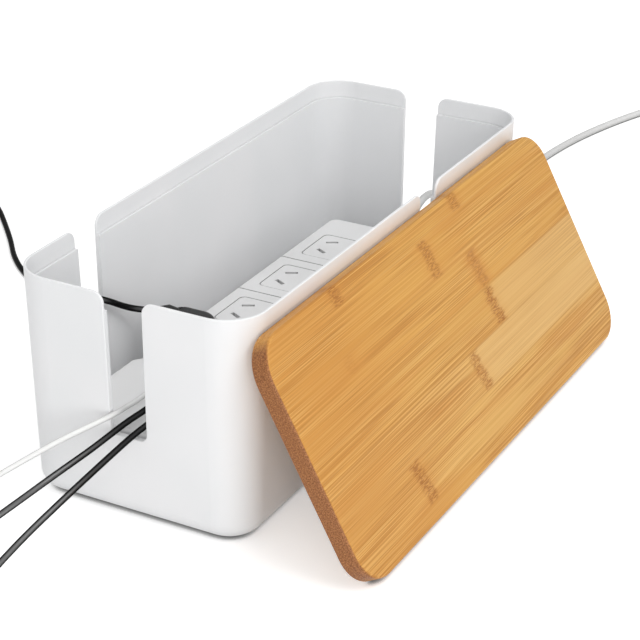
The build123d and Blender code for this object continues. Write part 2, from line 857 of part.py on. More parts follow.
for letter, (diameter, cord_length, turns, columns, way, route) in cords.items():
    with BuildPart() as cord:
        with BuildLine():
            radii = bend_radii(route)
            path = FilletPolyline(*route, radius=radii)
        with BuildSketch(Plane(origin=path @ 0, z_dir=path % 0)):
            Circle(diameter / 2)
        sweep()
    run = path.length
    section = pi * diameter**2 / 4
    print(f"cord_{letter}: run {run:.1f} mm, bends", [round(radius / diameter, 1) for radius in radii])
    print(f"cord_{letter}: volume {cord.part.volume:.1f}, section times run {section * run:.1f}")
    cord.part.label = f"cord_{letter}"
    export_step(cord.part, f"parts/cord_{letter}.step")

    # The coil lies to one side of the cord's last run, which is tangent to its outer turn.
    mean_radius = (cord_length - run - coil_tail) / (2 * pi * turns)
    outer_radius = mean_radius + (columns - 1) / 2 * diameter
    ring_outside = mean_radius + columns / 2 * diameter
    ring_inside = mean_radius - columns / 2 * diameter
    print(f"cord_{letter}: coil {2 * mean_radius / diameter:.1f} diameters across")
    arrival = path % 1
    arrival = Vector(arrival.X, arrival.Y, 0).normalized()
    sideways = Vector(-arrival.Y, arrival.X, 0) * way
    middle = Vector(route[-1][0], route[-1][1], 0) + sideways * outer_radius
    with BuildPart() as cord_coil:
        with BuildSketch(Plane(origin=middle)):
            Circle(ring_outside)
            Circle(ring_inside, mode=Mode.SUBTRACT)
        extrude(amount=coil_layers * diameter)
        fillet(cord_coil.edges(), radius=arc_share * diameter)
    cord_coil.part.label = f"cord_{letter}_coil"
    export_step(cord_coil.part, f"parts/cord_{letter}_coil.step")

    # The far end leaves the upper outer turn on its tangent and runs down to its plug.
    swing = way * 360 * turns
    leaving = arrival.rotate(Axis.Z, swing)
    exit_point = middle - sideways.rotate(Axis.Z, swing) * outer_radius
    exit_point = Vector(exit_point.X, exit_point.Y, (coil_layers - 0.5) * diameter)
    clear_run = sqrt((ring_outside + coil_gap) ** 2 - (outer_radius - diameter / 2 - relief_lip) ** 2)
    reach = clear_run + relief_lengths[letter]
    tail_end = exit_point + leaving * reach
    tail_end = Vector(tail_end.X, tail_end.Y, end_heights[letter] / 2)
    slope = (tail_end - exit_point).normalized()
    relief_starts[letter] = Plane(origin=tail_end - slope * relief_lengths[letter], z_dir=slope)
    relief_ends[letter] = Plane(origin=tail_end, x_dir=leaving.rotate(Axis.Z, 90), z_dir=leaving)

# ================================================================ plugs on the far ends
for letter in "abc":
    with BuildPart() as end_plug_body:
        with BuildSketch(relief_ends[letter]):
            RectangleRounded(end_body_width, end_body_height, end_body_round)
        extrude(amount=end_body_length)
        with BuildSketch(relief_starts[letter]):
            Circle(cords[letter][0] / 2 + relief_lip)
        with BuildSketch(relief_starts[letter].offset(end_relief_length + relief_overlap)):
            Circle(end_relief_radius)
        loft()
    end_plug_body.part.label = f"end_plug_{letter}_body"
    export_step(end_plug_body.part, f"parts/end_plug_{letter}_body.step")

    with BuildPart() as end_plug_tip:
        with BuildSketch(relief_ends[letter].offset(end_body_length)):
            RectangleRounded(end_tip_width, end_tip_height, end_tip_round)
        extrude(amount=end_tip_length)
    end_plug_tip.part.label = f"end_plug_{letter}_tip"
    export_step(end_plug_tip.part, f"parts/end_plug_{letter}_tip.step")

with BuildPart() as end_plug_d:
    with BuildSketch(relief_ends["d"]):
        RectangleRounded(socket_body_width, socket_body_height, socket_body_round)
    extrude(amount=socket_body_length)
    with BuildSketch(relief_starts["d"]):
        Circle(cord_d_diameter / 2 + relief_lip)
    with BuildSketch(relief_starts["d"].offset(end_relief_length + relief_overlap)):
        Circle(end_relief_radius)
    loft()
    with BuildSketch(relief_ends["d"].offset(socket_body_length - socket_bore_depth)):
        with Locations((-socket_bore_spacing / 2, 0), (socket_bore_spacing / 2, 0)):
            Circle(socket_bore)
    extrude(amount=socket_bore_depth, mode=Mode.SUBTRACT)
end_plug_d.part.label = "end_plug_d"
export_step(end_plug_d.part, "parts/end_plug_d.step")

mains_front = relief_ends["e"].offset(mains_body_length)

with BuildPart() as mains_plug_body:
    with BuildSketch(relief_ends["e"]):
        RectangleRounded(mains_back_width, mains_back_height, mains_body_round)
    with BuildSketch(mains_front):
        RectangleRounded(mains_body_width, mains_body_height, mains_body_round)
    loft()
    with BuildSketch(relief_starts["e"]):
        Circle(cord_e_diameter / 2 + relief_lip)
    with BuildSketch(relief_starts["e"].offset(mains_relief_length + relief_overlap)):
        Circle(mains_relief_radius)
    loft()
mains_plug_body.part.label = "mains_plug_body"
export_step(mains_plug_body.part, "parts/mains_plug_body.step")

# The blades lie around the middle of the plug's face.
blade_middle = (blade_rise - earth_drop) / 2
with BuildPart() as mains_plug_pins:
    with BuildSketch(mains_front):
        for pin_x, pin_y, turn in blade_spots(0, -blade_middle):
            with Locations((pin_x, pin_y)):
                Rectangle(blade_thickness, blade_width, rotation=turn)
        with Locations((0, -earth_drop - blade_middle)):
            Rectangle(blade_thickness, blade_width)
    extrude(amount=blade_length)
mains_plug_pins.part.label = "mains_plug_pins"
export_step(mains_plug_pins.part, "parts/mains_plug_pins.step")
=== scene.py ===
import json
from math import atan2, cos, pi, radians, sin, sqrt

import bpy
from mathutils import Matrix, Vector


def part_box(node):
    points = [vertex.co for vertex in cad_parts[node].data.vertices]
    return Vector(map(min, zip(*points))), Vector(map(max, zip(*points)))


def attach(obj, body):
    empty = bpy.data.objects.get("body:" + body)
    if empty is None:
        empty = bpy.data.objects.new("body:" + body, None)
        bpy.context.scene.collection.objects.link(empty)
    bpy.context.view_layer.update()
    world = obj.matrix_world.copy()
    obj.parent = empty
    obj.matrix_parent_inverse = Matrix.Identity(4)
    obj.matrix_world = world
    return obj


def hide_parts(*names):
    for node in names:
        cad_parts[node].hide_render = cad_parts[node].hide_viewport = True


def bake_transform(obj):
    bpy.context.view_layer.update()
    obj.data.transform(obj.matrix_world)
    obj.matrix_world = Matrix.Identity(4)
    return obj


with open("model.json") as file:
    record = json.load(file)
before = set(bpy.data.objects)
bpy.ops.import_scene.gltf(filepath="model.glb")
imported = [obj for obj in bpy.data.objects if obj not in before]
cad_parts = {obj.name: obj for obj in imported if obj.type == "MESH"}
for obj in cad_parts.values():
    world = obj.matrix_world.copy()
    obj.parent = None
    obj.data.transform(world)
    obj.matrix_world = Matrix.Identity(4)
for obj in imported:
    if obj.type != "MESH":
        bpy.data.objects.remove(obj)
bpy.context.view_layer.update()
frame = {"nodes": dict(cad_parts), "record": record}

# Cable management box: materials, cords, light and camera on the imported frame. Metres, Z up.
MM = 0.001
BLACK = (0.0, 0.0, 0.0, 1.0)


# ================================================================ materials
class Shader:
    """A new material with short calls that add nodes and join them."""

    def __init__(self, name):
        self.material = bpy.data.materials.new(name)
        self.material.use_nodes = True
        self.tree = self.material.node_tree
        self.surface = self.tree.nodes["Principled BSDF"]
        coordinates = self.tree.nodes.new("ShaderNodeTexCoord")
        self.place = coordinates.outputs["Object"]
        self.normal = coordinates.outputs["Normal"]

    def put(self, value, socket):
        """Joins an output to the socket, or sets the socket to a constant."""
        if isinstance(value, bpy.types.NodeSocket):
            self.tree.links.new(value, socket)
        else:
            socket.default_value = value

    def math(self, operation, first, second=0.0, third=0.0):
        node = self.tree.nodes.new("ShaderNodeMath")
        node.operation = operation
        for value, socket in zip((first, second, third), node.inputs):
            self.put(value, socket)
        return node.outputs[0]

    def times(self, first, second):
        return self.math("MULTIPLY", first, second)

    def apart(self, value, middle):
        """How far the value is from the middle, on either side."""
        return self.math("ABSOLUTE", self.math("SUBTRACT", value, middle))

    def dot(self, vector, direction):
        node = self.tree.nodes.new("ShaderNodeVectorMath")
        node.operation = "DOT_PRODUCT"
        self.put(vector, node.inputs[0])
        self.put(direction, node.inputs[1])
        return node.outputs["Value"]

    def join(self, x, y, z):
        node = self.tree.nodes.new("ShaderNodeCombineXYZ")
        for value, socket in zip((x, y, z), node.inputs):
            self.put(value, socket)
        return node.outputs[0]

    def noise(self, vector, scale, detail=2.0, roughness=0.5):
        node = self.tree.nodes.new("ShaderNodeTexNoise")
        self.put(vector, node.inputs["Vector"])
        self.put(scale, node.inputs["Scale"])
        self.put(detail, node.inputs["Detail"])
        self.put(roughness, node.inputs["Roughness"])
        return node.outputs["Fac"]

    def grain(self, vector, cells, detail=2.0, roughness=0.5):
        """Noise with its own number of cells per unit along each axis."""
        node = self.tree.nodes.new("ShaderNodeMapping")
        self.put(vector, node.inputs["Vector"])
        self.put(cells, node.inputs["Scale"])
        return self.noise(node.outputs[0], 1.0, detail, roughness)

    def between(self, value, low, high, start=0.0, end=1.0):
        """Maps low to start and high to end, and stays between them."""
        node = self.tree.nodes.new("ShaderNodeMapRange")
        node.interpolation_type = "SMOOTHSTEP"
        for given, socket in zip((value, low, high, start, end), node.inputs):
            self.put(given, socket)
        return node.outputs[0]

    def spread(self, noise, start=0.0, end=1.0):
        """Maps a noise, which lies mostly within 0.3 to 0.7, to all of start to end."""
        return self.between(noise, 0.3, 0.7, start, end)

    def mix(self, share, first, second):
        node = self.tree.nodes.new("ShaderNodeMix")
        node.data_type = "RGBA"
        self.put(share, node.inputs[0])
        self.put(first, node.inputs[6])
        self.put(second, node.inputs[7])
        return node.outputs[2]

    def steps(self, share, stops):
        """The colour of the last stop that the share has reached."""
        node = self.tree.nodes.new("ShaderNodeValToRGB")
        node.color_ramp.interpolation = "CONSTANT"
        while len(node.color_ramp.elements) < len(stops):
            node.color_ramp.elements.new(1.0)
        for element, (position, colour) in zip(node.color_ramp.elements, stops):
            element.position = position
            element.color = colour
        self.put(share, node.inputs[0])
        return node.outputs[0]

    def bump(self, height, strength, distance):
        node = self.tree.nodes.new("ShaderNodeBump")
        self.put(height, node.inputs["Height"])
        self.put(strength, node.inputs["Strength"])
        self.put(distance, node.inputs["Distance"])
        self.tree.links.new(node.outputs[0], self.surface.inputs["Normal"])

    def shelter(self, reach):
        """0 where the surface is hemmed in within the reach, 1 where it's open."""
        node = self.tree.nodes.new("ShaderNodeAmbientOcclusion")
        self.put(reach, node.inputs["Distance"])
        return node.outputs["AO"]

    def turned(self):
        """0 where the surface faces the viewer, 1 where it turns away at its outline."""
        node = self.tree.nodes.new("ShaderNodeLayerWeight")
        self.put(0.5, node.inputs["Blend"])
        return node.outputs["Facing"]

    def seen(self):
        """1 for rays that show the surface to the camera, straight or by a reflection, else 0."""
        path = self.tree.nodes.new("ShaderNodeLightPath").outputs
        mirrored = self.math("MAXIMUM", path["Is Glossy Ray"], path["Is Transmission Ray"])
        return self.math("MAXIMUM", path["Is Camera Ray"], mirrored)

    def finish(self, **inputs):
        """Sets the surface's inputs, named with _ for a space, and returns the material."""
        for name, value in inputs.items():
            self.put(value, self.surface.inputs[name.replace("_", " ")])
        return self.material


def from_srgb(red, green, blue):
    """A colour given as a screen shows it, 0 to 255, for a shader's socket."""

    def linear(value):
        value = value / 255
        return value / 12.92 if value <= 0.04045 else ((value + 0.055) / 1.055) ** 2.4

    return (linear(red), linear(green), linear(blue), 1.0)


# ---------------------------------------------------------------- plastics and metals
# Each plastic's darker and lighter tone and its roughness, and where they matter its grain in
# cells per metre, its gleam, its index of refraction (ior), how much painted shade darkens it where
# it turns away from the viewer (edge) and how much painted shade darkens it in narrow corners (crease).
PLASTICS = {
    # The crease setting of box_white and strip_white paints shade into their narrow corners and grooves.
    "box_white": dict(dark=(236, 237, 238), light=(240, 240, 241), roughness=0.42, crease_shade=0.2),
    "strip_white": dict(
        dark=(226, 226, 226), light=(232, 232, 232), roughness=0.4, gleam=0.35, crease_shade=0.4
    ),
    "rubber_grey": dict(dark=(88, 88, 88), light=(100, 100, 100), roughness=0.8),
    # The edge setting of the cords paints shade at their outlines, and cord_black's strong gleam, which
    # fades towards its outline, is a painted sheen along its middle.
    "cord_white": dict(dark=(234, 234, 233), light=(240, 240, 239), roughness=0.35, edge=0.2),
    "cord_black": dict(
        dark=(28, 28, 29), light=(36, 36, 37), roughness=0.38, gleam=1.0, edge=0.9, ior=1.75
    ),
    "plug_black": dict(dark=(40, 40, 40), light=(48, 48, 48), roughness=0.45, gleam=0.3),
    "port_black": dict(dark=(20, 20, 20), light=(30, 30, 30), roughness=0.5, gleam=0.25),
    "board_green": dict(dark=(18, 84, 46), light=(26, 98, 56), roughness=0.35, grain=300.0),
}
CLOUD_CELLS = 18.0
PLASTIC_RELIEF = 0.15
# How far the surface has turned away where the painted shade at its outline starts and is darkest,
# and the same for the fading of its gleam, which leaves a painted sheen along its middle.
OUTLINE_SHADE_TURNS = (0.1, 0.6)
SHEEN_TURNS = (0.02, 0.35)
OUTLINE_GLEAM = 0.02
# How open a corner is where its painted shade starts and is darkest.
CREASE_SHADE_OPEN = (0.9, 0.45)
CREASE_SHADE_REACH = 2 * MM

# Each metal's darker and lighter tone, as shares of the light it sends back, and its roughness.
METALS = {
    "bright_metal": ((0.62, 0.62, 0.63, 1), (0.76, 0.76, 0.77, 1), 0.24),
    "brass": ((0.62, 0.43, 0.16, 1), (0.76, 0.55, 0.24, 1), 0.3),
}
SCRATCH_CELLS = (60, 900, 900)
METAL_RELIEF = 0.1
FINE_DEPTH = 0.02 * MM


def plastic(name, dark, light, roughness, grain=900.0, gleam=0.5, ior=1.5, edge=0.0, crease_shade=0.0):
    """Moulded plastic: slow tone changes, a fine spark-eroded grain and a changing gloss; where asked,
    painted shade at the outline and in narrow corners, and a painted sheen along the middle.
    """
    shader = Shader(name)
    clouds = shader.noise(shader.place, CLOUD_CELLS)
    fine = shader.noise(shader.place, grain, 2.0, 0.6)
    colour = shader.mix(shader.spread(clouds), from_srgb(*dark), from_srgb(*light))
    # Painted shade: the colour darkens towards the outline, and the gleam fades there, leaving a painted
    # sheen along the middle.
    if edge:
        turned = shader.turned()
        colour = shader.mix(shader.between(turned, *OUTLINE_SHADE_TURNS, 0.0, edge), colour, BLACK)
        gleam = shader.between(turned, *SHEEN_TURNS, gleam, OUTLINE_GLEAM)
    # Painted shade in narrow corners and creases.
    if crease_shade:
        crease_shade_share = shader.between(shader.shelter(CREASE_SHADE_REACH), *CREASE_SHADE_OPEN, 0.0, crease_shade)
        colour = shader.mix(crease_shade_share, colour, BLACK)
    gloss = shader.spread(fine, roughness - 0.04, roughness + 0.05)
    shader.bump(fine, PLASTIC_RELIEF, FINE_DEPTH)
    return shader.finish(Base_Color=colour, Roughness=gloss, Specular_IOR_Level=gleam, IOR=ior)


def metal(name, dark, light, roughness):
    """Plated or rolled metal with short scratches along X."""
    shader = Shader(name)
    scratches = shader.grain(shader.place, SCRATCH_CELLS, 3.0)
    colour = shader.mix(shader.spread(scratches), dark, light)
    gloss = shader.spread(scratches, roughness - 0.06, roughness + 0.1)
    shader.bump(scratches, METAL_RELIEF, FINE_DEPTH)
    return shader.finish(Base_Color=colour, Roughness=gloss, Metallic=1.0)


# ---------------------------------------------------------------- bamboo
# The lid as it leans, as in part.py.
LID_LEAN = radians(28.4)
LID_WIDTH = 126 * MM
LID_CENTRE_X = -6 * MM
LID_UP = (0.0, sin(LID_LEAN), cos(LID_LEAN))
LID_OUT = (0.0, -cos(LID_LEAN), sin(LID_LEAN))

# Glued strips: millimetres up the lid to each strip's lower edge, and its tone.
STRIPS = (
    (0.0, from_srgb(215, 162, 83)),
    (8.5, from_srgb(217, 168, 92)),
    (30.0, from_srgb(218, 170, 96)),
    (51.8, from_srgb(214, 162, 83)),
    (73.5, from_srgb(214, 159, 78)),
    (95.2, from_srgb(215, 160, 78)),
    (116.9, from_srgb(217, 164, 82)),
)
# How far a seam wanders and reaches to each side, in millimetres, and how dark it is.
SEAM_WANDER = 0.6
SEAM_REACH = (0.7, 0.1)
SEAM_DARKNESS = 0.3

# Joints of the bamboo: millimetres along the lid from its middle, up the lid and half the height,
# then how strong its dashes and its flush are, and how much paler its strip is beyond it.
KNOTS = (
    (-84.0, 20.0, 11.5, 1.0, 0.8, 0.0),
    (2.8, 41.0, 10.8, 0.85, 0.3, 0.45),
    (41.0, 62.5, 10.8, 1.0, 0.6, 0.45),
    (40.5, 84.5, 10.8, 0.6, 1.6, 0.0),
    (-98.5, 90.0, 5.0, 0.15, 0.9, 0.0),
    (1.0, 105.0, 10.8, 0.85, 0.9, 0.0),
    (-87.0, 121.0, 5.5, 0.9, 1.0, 0.0),
    (44.7, 121.5, 5.0, 0.8, 1.0, 0.0),
)
# A joint's line leans and is ragged. Its dashes, its flush and the paler strip each start at one
# distance from the line and are in full at another, in millimetres.
JOINT_LEAN = 0.12
JOINT_RAGGED = 11.0
DASH_REACH = (6.5, 2.0)
FLUSH_REACH = (13.0, 3.0)
PALE_REACH = (0.0, 6.0)

# Cells of each noise per millimetre along the lid, up its face and through it.
WANDER_CELLS = (0.01, 0.0, 0.0)
STREAK_CELLS = (0.004, 0.16, 0.16)
PATCH_CELLS = (0.014, 0.06, 0.06)
FIBRE_CELLS = (0.009, 1.75, 1.75)
HAIR_CELLS = (0.016, 2.6, 2.6)
SHOW_CELLS = (0.016, 0.07, 0.07)
RAGGED_CELLS = (0.0, 0.22, 0.22)
DASH_CELLS = (0.26, 1.5, 1.5)
SPECK_CELLS = (1.0, 1.4, 1.4)

BAMBOO_DARK = from_srgb(176, 117, 48)
BAMBOO_LIGHT = from_srgb(238, 196, 118)
BAMBOO_PALE = from_srgb(226, 186, 122)
BAMBOO_WARM = from_srgb(202, 138, 60)
BAMBOO_JOINT = from_srgb(158, 96, 32)
BAMBOO_CUT = (from_srgb(176, 118, 70), from_srgb(122, 72, 36))
# The lid is warmer towards its near end: from where to where along it, and by what share.
WARM_PLACES = (-20.0, -120.0)
WARM_SHARE = 0.65
BAMBOO_RELIEF = 0.3
BAMBOO_DEPTH = 0.1 * MM
BAMBOO_GLOSS = (0.42, 0.56)
BAMBOO_GLEAM = 0.35


def lid_grid(shader):
    """Millimetres along the lid from its middle, up its face and through it."""
    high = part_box("lid")[1]
    foot = Vector((LID_CENTRE_X, high[1] - LID_WIDTH * sin(LID_LEAN), 0.0))
    along = shader.math("MULTIPLY_ADD", shader.dot(shader.place, (1, 0, 0)), 1 / MM, -foot.x / MM)
    lift = -foot.dot(Vector(LID_UP)) / MM
    height = shader.math("MULTIPLY_ADD", shader.dot(shader.place, LID_UP), 1 / MM, lift)
    depth = shader.times(shader.dot(shader.place, LID_OUT), 1 / MM)
    return shader.join(along, height, depth), along, height


def strip_tones(shader, grid, height):
    """The glued strips' own tones, with a thin dark seam between them."""
    span = LID_WIDTH / MM
    wander = shader.grain(grid, WANDER_CELLS, 1.0)
    level = shader.math("SUBTRACT", height, SEAM_WANDER / 2)
    place = shader.math("MULTIPLY_ADD", wander, SEAM_WANDER, level)
    share = shader.math("DIVIDE", place, span)
    colour = shader.steps(share, [(edge / span, tone) for edge, tone in STRIPS])
    seams = 0.0
    for edge, _ in STRIPS[1:]:
        seam = shader.between(shader.apart(place, edge), *SEAM_REACH, 0.0, SEAM_DARKNESS)
        seams = shader.math("ADD", seam, seams)
    return shader.mix(seams, colour, BAMBOO_DARK)


def add_fibres(shader, grid, colour):
    """Broad streaks and patches, then fine dark and light fibres. Gives the fibres too."""
    streaks = shader.grain(grid, STREAK_CELLS)
    patches = shader.grain(grid, PATCH_CELLS)
    fibres = shader.grain(grid, FIBRE_CELLS, 0.0)
    hairs = shader.grain(grid, HAIR_CELLS, 0.0)
    # The fibres stand out more in some places than in others.
    show = shader.between(shader.grain(grid, SHOW_CELLS, 1.0), 0.3, 0.66, 0.25, 1.0)
    dark = shader.times(shader.between(fibres, 0.5, 0.66, 0.0, 0.55), show)
    light = shader.times(shader.between(fibres, 0.5, 0.34, 0.0, 0.35), show)
    fine = shader.times(shader.between(hairs, 0.5, 0.66, 0.0, 0.62), show)
    colour = shader.mix(shader.between(streaks, 0.42, 0.66, 0.0, 0.36), colour, BAMBOO_WARM)
    colour = shader.mix(shader.between(patches, 0.5, 0.75, 0.0, 0.4), colour, BAMBOO_WARM)
    colour = shader.mix(dark, colour, BAMBOO_DARK)
    colour = shader.mix(light, colour, BAMBOO_LIGHT)
    return shader.mix(fine, colour, BAMBOO_DARK), fibres


def add_joints(shader, grid, along, height, colour):
    """Joints as ragged bands of short dark dashes over a warm flush. Gives the dashes too."""
    ragged = shader.grain(grid, RAGGED_CELLS, 3.0, 0.7)
    shift = shader.math("MULTIPLY_ADD", ragged, JOINT_RAGGED, -JOINT_RAGGED / 2)
    dashes = shader.grain(grid, DASH_CELLS, 1.0, 0.6)
    marks = 0.0
    flushes = 0.0
    paler = 0.0
    for knot_along, knot_height, half_height, dash, flush, pale in KNOTS:
        # The joint's line leans with the height, and the offset is how far past it a point is.
        start = -knot_along - JOINT_LEAN * knot_height
        lean = shader.math("MULTIPLY_ADD", height, JOINT_LEAN, start)
        offset = shader.math("ADD", shader.math("ADD", along, lean), shift)
        across = shader.math("ABSOLUTE", offset)
        upright = shader.apart(height, knot_height)
        inside = shader.between(upright, half_height + 0.6, half_height - 1.4)
        mark = shader.times(shader.between(across, *DASH_REACH), inside)
        marks = shader.math("MULTIPLY_ADD", mark, dash, marks)
        warm = shader.times(shader.between(across, *FLUSH_REACH), inside)
        flushes = shader.math("MULTIPLY_ADD", warm, flush, flushes)
        beyond = shader.times(shader.between(offset, *PALE_REACH), inside)
        paler = shader.math("MULTIPLY_ADD", beyond, pale, paler)
    broken = shader.times(marks, shader.between(dashes, 0.46, 0.53))
    colour = shader.mix(paler, colour, BAMBOO_PALE)
    colour = shader.mix(shader.times(flushes, 0.35), colour, BAMBOO_WARM)
    colour = shader.mix(shader.times(marks, 0.2), colour, BAMBOO_DARK)
    colour = shader.mix(shader.times(broken, 0.75), colour, BAMBOO_JOINT)
    return colour, broken


def darken_ends(shader, grid, colour):
    """The sawn ends show the cut fibres as dark specks, and the lower edge is half as dark."""
    facing = shader.math("ABSOLUTE", shader.dot(shader.normal, (1, 0, 0)))
    under = shader.times(shader.dot(shader.normal, LID_UP), -1.0)
    ends = shader.between(facing, 0.3, 0.75)
    lower_edge = shader.between(under, 0.5, 0.9, 0.0, 0.5)
    cut = shader.math("MAXIMUM", ends, lower_edge)
    specks = shader.grain(grid, SPECK_CELLS, 3.0, 0.7)
    return shader.mix(cut, colour, shader.mix(shader.between(specks, 0.38, 0.6), *BAMBOO_CUT))


def bamboo():
    """Laminated bamboo: strips of different tone, fibres along them, joints and darker ends."""
    shader = Shader("bamboo")
    grid, along, height = lid_grid(shader)
    colour = strip_tones(shader, grid, height)
    warmth = shader.between(along, *WARM_PLACES, 0.0, WARM_SHARE)
    colour = shader.mix(warmth, colour, BAMBOO_WARM)
    colour, fibres = add_fibres(shader, grid, colour)
    colour, dashes = add_joints(shader, grid, along, height, colour)
    colour = darken_ends(shader, grid, colour)
    relief = shader.math("SUBTRACT", shader.times(dashes, 0.6), fibres)
    shader.bump(relief, BAMBOO_RELIEF, BAMBOO_DEPTH)
    gloss = shader.spread(fibres, *BAMBOO_GLOSS)
    return shader.finish(Base_Color=colour, Roughness=gloss, Specular_IOR_Level=BAMBOO_GLEAM)


# ---------------------------------------------------------------- finish of the CAD nodes
# Nodes whose finish isn't that of their record's slot.
FINISHES = {
    "plug_body": "plug_black",
    "usb_plug_b_body": "plug_black",
    "usb_plug_c_body": "plug_black",
    "end_plug_b_body": "plug_black",
    "end_plug_c_body": "plug_black",
    "end_plug_d": "plug_black",
}


def make_materials():
    """All materials, by the record's material slot."""
    materials = {name: plastic(name, **look) for name, look in PLASTICS.items()}
    for name, look in METALS.items():
        materials[name] = metal(name, *look)
    materials["bamboo"] = bamboo()
    return materials


def dress_nodes():
    """Gives every CAD node the material of its slot."""
    for row in frame["record"]["subparts"]:
        mesh = frame["nodes"][row["node"]].data
        mesh.materials.clear()
        mesh.materials.append(MATERIALS[FINISHES.get(row["node"], row["material_slot"])])


MATERIALS = make_materials()
dress_nodes()

# ================================================================ the black plug
# Tip of the plug's nose, the way it points and its length, as in part.py.
NOSE_TIP = Vector((-61.2, 46.5, 61.3)) * MM
NOSE_TURN = radians(46)
NOSE_RISE = radians(12)
NOSE_WAY = Vector((-sin(NOSE_TURN) * cos(NOSE_RISE), cos(NOSE_TURN) * cos(NOSE_RISE), sin(NOSE_RISE)))
NOSE_LENGTH = 9 * MM
# The tip's rim lies within the first radius of the nose's line and the root's rim outside the
# second, each within the tolerance of its plane.
TIP_RADIUS = 2.2 * MM
ROOT_RADIUS = 3.9 * MM
PLANE_TOLERANCE = 0.05 * MM
# How far the tip is drawn out, and how far the root is sunk in, lowered and narrowed.
TIP_DRAWN = 1.2 * MM
ROOT_SUNK = 4 * MM
ROOT_LOWERED = 1.5 * MM
ROOT_NARROWED = 0.15


def ease_nose():
    """The black plug with the root of its nose sunk into it and the tip drawn out to its cord."""
    source = frame["nodes"]["plug_body"]
    mesh = source.data.copy()
    mesh.name = "plug_body_eased"
    mesh.transform(source.matrix_world)
    lowered = Vector((0, 0, ROOT_LOWERED))
    for vertex in mesh.vertices:
        way = vertex.co - NOSE_TIP
        along = way.dot(NOSE_WAY)
        across = way - along * NOSE_WAY
        if abs(along) < PLANE_TOLERANCE and across.length < TIP_RADIUS:
            vertex.co += NOSE_WAY * TIP_DRAWN
        elif abs(along + NOSE_LENGTH) < PLANE_TOLERANCE and across.length > ROOT_RADIUS:
            vertex.co += across * -ROOT_NARROWED - NOSE_WAY * ROOT_SUNK - lowered
    piece = bpy.data.objects.new("plug_body_eased", mesh)
    bpy.context.scene.collection.objects.link(piece)
    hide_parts("plug_body")
    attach(piece, "plug")


ease_nose()

# ================================================================ cords
# The routes are part.py's, in millimetres; a cord's coil follows its last point.
ROUTE_A = [
    (-120.8, 12.5, 50), (-130, 12.5, 50), (-144, 10.6, 52.8), (-158.5, 7.6, 56.6), (-170, 12, 55.4),
    (-184, 22, 50.8), (-199, 38.1, 40), (-214, 56, 27), (-228, 72.5, 14), (-245, 86, 4), (-263, 96.5, 1.4),
]
ROUTE_B = [
    (-120.8, 3.5, 50), (-135, 3.5, 50), (-151, 5, 50), (-165, 5.6, 49.4), (-180, 7.4, 47.6),
    (-200, 12, 44.3), (-221, 21.2, 36.2), (-243, 35.2, 24), (-262, 46, 12), (-283, 54, 4),
    (-304, 58.5, 1.6),
]
ROUTE_C = [
    (-120.8, -5.5, 50), (-138, -5.5, 50), (-156, -3.4, 48.9), (-182.4, -3.4, 47), (-214, -1.8, 42.4),
    (-242, 4.8, 31.8), (-267, 12, 17.3), (-288, 16.4, 6), (-308, 18, 1.6),
]
ROUTE_D = [
    (-61.9, 47.2, 61.5), (-68.8, 53.2, 63.7), (-78, 56, 69), (-87.9, 56.4, 75.5), (-95.9, 61.8, 79.9),
    (-101.1, 71, 81.2), (-102.6, 81.1, 78.2), (-100.1, 91.1, 69.6), (-93, 98, 53.4), (-83, 104, 34),
    (-68, 109, 17), (-45, 115, 6), (-15, 129, 1.7), (14, 154, 1.7), (33, 184, 1.7), (48, 212, 1.7),
    (66, 233, 1.7), (84, 248, 1.7), (105, 268, 1.7), (126, 289, 1.7), (139, 308, 1.7),
]
ROUTE_E = [
    (145.7, -1, 46.4), (157.6, -1, 52.74), (172.5, -0.6, 53.2), (189.5, 0.5, 46.4), (206, 2, 33),
    (222, 4, 18), (242, 6, 6), (268, 8.2, 2.3), (305, 10.2, 2.3), (345, 10.8, 2.3), (388, 9.6, 2.3),
    (428, 4.4, 2.3), (467, -5, 2.3), (505, -17.5, 2.3), (539, -34, 2.3),
]
# Each cord: letter, route, diameter, length, slot, what is on its far end, that plug's bend relief,
# and of its coil the turns, the columns and the way round, 1 for anticlockwise from above.
CORDS = (
    ("a", ROUTE_A, 2.8 * MM, 1.0, "cord_white", "connector", 9 * MM, 7.5, 4, -1),
    ("b", ROUTE_B, 3.2 * MM, 1.0, "cord_black", "connector", 9 * MM, 7.25, 4, -1),
    ("c", ROUTE_C, 3.2 * MM, 1.0, "cord_black", "connector", 9 * MM, 7.25, 4, 1),
    ("d", ROUTE_D, 3.4 * MM, 1.5, "cord_black", "connector", 9 * MM, 9.25, 5, 1),
    ("e", ROUTE_E, 4.6 * MM, 1.8, "cord_white", "plug", 28 * MM, 9.25, 5, -1),
)
END_PIECES = {
    "a": ("end_plug_a_body", "end_plug_a_tip"),
    "b": ("end_plug_b_body", "end_plug_b_tip"),
    "c": ("end_plug_c_body", "end_plug_c_tip"),
    "d": ("end_plug_d",),
    "e": ("mains_plug_body", "mains_plug_pins"),
}
# The body of the plug at a cord's start, and the way from that start to where its bend ends.
# Only which cords are listed is read here: those cords are left unattached.
BENDS = {
    "a": ("usb_plug_a", Vector((-70 * MM, 0, 0))),
    "b": ("usb_plug_b", Vector((-70 * MM, 0, 0))),
    "c": ("usb_plug_c", Vector((-70 * MM, 0, 0))),
    "d": ("plug", Vector((-8 * MM, 51 * MM, 0))),
}
# Points in a turn of a coil, and the last part of each turn in which it steps to the next column.
COIL_STEPS = 18
COIL_JOG = 0.22
# Space between a coil and the plug beside it.
COIL_GAP = 0.3 * MM
# Points after the coil, as shares of the straight run to the end plug. The last is inside the plug.
TAIL_SHARES = (0.45, 0.9, 1.25)


